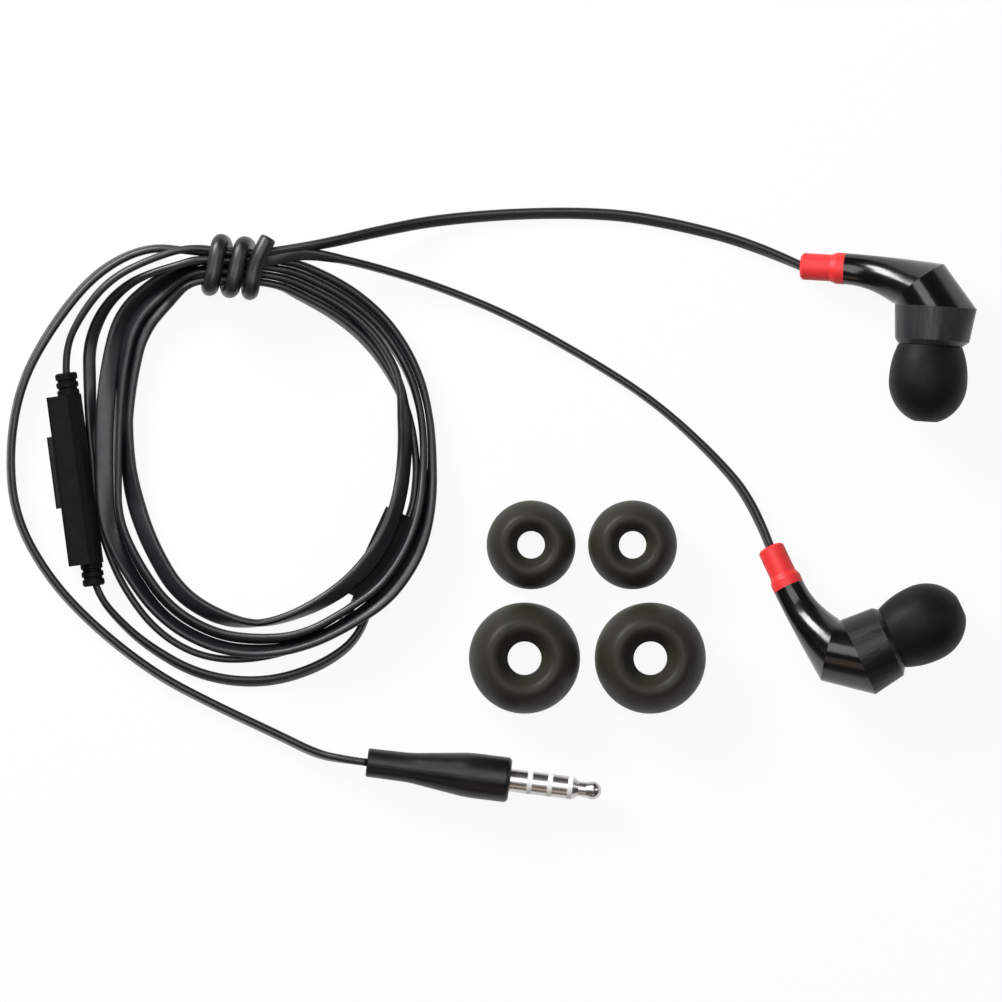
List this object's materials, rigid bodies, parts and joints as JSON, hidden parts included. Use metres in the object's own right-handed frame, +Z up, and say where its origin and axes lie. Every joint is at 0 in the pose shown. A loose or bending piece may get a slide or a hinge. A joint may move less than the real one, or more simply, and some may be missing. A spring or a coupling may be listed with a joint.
{
  "type": "wired earphones",
  "caption": "In-ear earphones with angled housings, flat coiled cable held by a tie, in-line remote, cable splitter, 3.5 mm plug and spare ear tips, lying flat.",
  "frame": {"origin": "on the surface that everything lies on, under the middle of the box round the two ear buds and the spare tips", "axes": "+X to the right and +Y up the flat lay as pictured from above, +Z up from the surface"},
  "size_m": [0.1481, 0.0909, 0.0121],
  "materials": {
    "cord_rubber": "satin flat cable jacket",
    "tie_rubber": "matte round rubber",
    "housing_gloss": "polished black",
    "boot_rubber": "satin red",
    "tip_silicone": "matte black silicone",
    "spare_silicone": "greenish grey silicone, semi-gloss",
    "plug_plastic": "satin black",
    "remote_plastic": "satin black",
    "button_plastic": "satin black",
    "contact_chrome": "bright nickel plate",
    "band_plastic": "white insulating plastic",
    "steel": "plain steel",
    "magnet_nickel": "nickel plated magnet",
    "coil_copper": "enamelled copper wire",
    "film": "clear film",
    "basket_plastic": "moulded black",
    "board_green": "circuit board",
    "damper_felt": "white acoustic paper",
    "mesh_steel": "fine woven grille"
  },
  "bodies": {
    "earphones": {"cable_splitter": "plug_plastic", "cable_tie": "tie_rubber", "left_cable_boot": "boot_rubber", "left_cable_clip": "steel", "left_driver_basket": "basket_plastic", "left_driver_magnet": "magnet_nickel", "left_driver_top_plate": "steel", "left_driver_wires": "coil_copper", "left_driver_yoke": "steel", "left_front_housing": "housing_gloss", "left_lead_lower": "cord_rubber", "left_lead_upper": "cord_rubber", "left_nozzle_mesh": "mesh_steel", "left_rear_housing": "housing_gloss", "left_terminal_board": "board_green", "left_vent_damper": "damper_felt", "main_cable_coil": "cord_rubber", "main_cable_tail": "cord_rubber", "plug_first_ring_contact": "contact_chrome", "plug_insulating_bands": "band_plastic", "plug_moulding": "plug_plastic", "plug_rod_insulation": "band_plastic", "plug_second_ring_contact": "contact_chrome", "plug_sleeve_contact": "contact_chrome", "plug_tip_contact": "contact_chrome", "remote_circuit_board": "board_green", "remote_dome_switch": "steel", "remote_front_shell": "remote_plastic", "remote_lower_collar": "cord_rubber", "remote_microphone": "magnet_nickel", "remote_microphone_mesh": "mesh_steel", "remote_rear_shell": "remote_plastic", "remote_upper_collar": "cord_rubber", "right_cable_boot": "boot_rubber", "right_cable_clip": "steel", "right_driver_basket": "basket_plastic", "right_driver_magnet": "magnet_nickel", "right_driver_top_plate": "steel", "right_driver_wires": "coil_copper", "right_driver_yoke": "steel", "right_front_housing": "housing_gloss", "right_lead": "cord_rubber", "right_nozzle_mesh": "mesh_steel", "right_rear_housing": "housing_gloss", "right_terminal_board": "board_green", "right_vent_damper": "damper_felt"},
    "left_fitted_tip": {"left_ear_tip": "tip_silicone"},
    "right_fitted_tip": {"right_ear_tip": "tip_silicone"},
    "button": {"remote_button": "button_plastic"},
    "left_film": {"left_diaphragm": "film", "left_voice_coil": "coil_copper"},
    "right_film": {"right_diaphragm": "film", "right_voice_coil": "coil_copper"},
    "small_spare_left": {"spare_tip_small_left": "spare_silicone"},
    "small_spare_right": {"spare_tip_small_right": "spare_silicone"},
    "large_spare_left": {"spare_tip_large_left": "spare_silicone"},
    "large_spare_right": {"spare_tip_large_right": "spare_silicone"}
  },
  "joints": [
    {"name": "button_press", "type": "slide", "parent": "earphones", "child": "button", "axis": [0.9912, 0.1323, 0], "range_m": [0, 0.0003], "stiffness_N_per_m": 500},
    {"name": "left_tip_pull_off", "type": "slide", "parent": "earphones", "child": "left_fitted_tip", "axis": [-0.063, -0.998, 0], "range_m": [0, 0.009]},
    {"name": "right_tip_pull_off", "type": "slide", "parent": "earphones", "child": "right_fitted_tip", "axis": [0.907, 0.421, 0], "range_m": [0, 0.009]},
    {"name": "left_film_travel", "type": "slide", "parent": "earphones", "child": "left_film", "axis": [-0.063, -0.998, 0], "range_m": [-0.0001, 0.0001], "stiffness_N_per_m": 600},
    {"name": "right_film_travel", "type": "slide", "parent": "earphones", "child": "right_film", "axis": [0.907, 0.421, 0], "range_m": [-0.0001, 0.0001], "stiffness_N_per_m": 600},
    {"name": "small_spare_left_lift", "type": "slide", "parent": "earphones", "child": "small_spare_left", "axis": [0, 0, 1], "range_m": [0, 0.03]},
    {"name": "small_spare_right_lift", "type": "slide", "parent": "earphones", "child": "small_spare_right", "axis": [0, 0, 1], "range_m": [0, 0.03]},
    {"name": "large_spare_left_lift", "type": "slide", "parent": "earphones", "child": "large_spare_left", "axis": [0, 0, 1], "range_m": [0, 0.03]},
    {"name": "large_spare_right_lift", "type": "slide", "parent": "earphones", "child": "large_spare_right", "axis": [0, 0, 1], "range_m": [0, 0.03]}
  ]
}
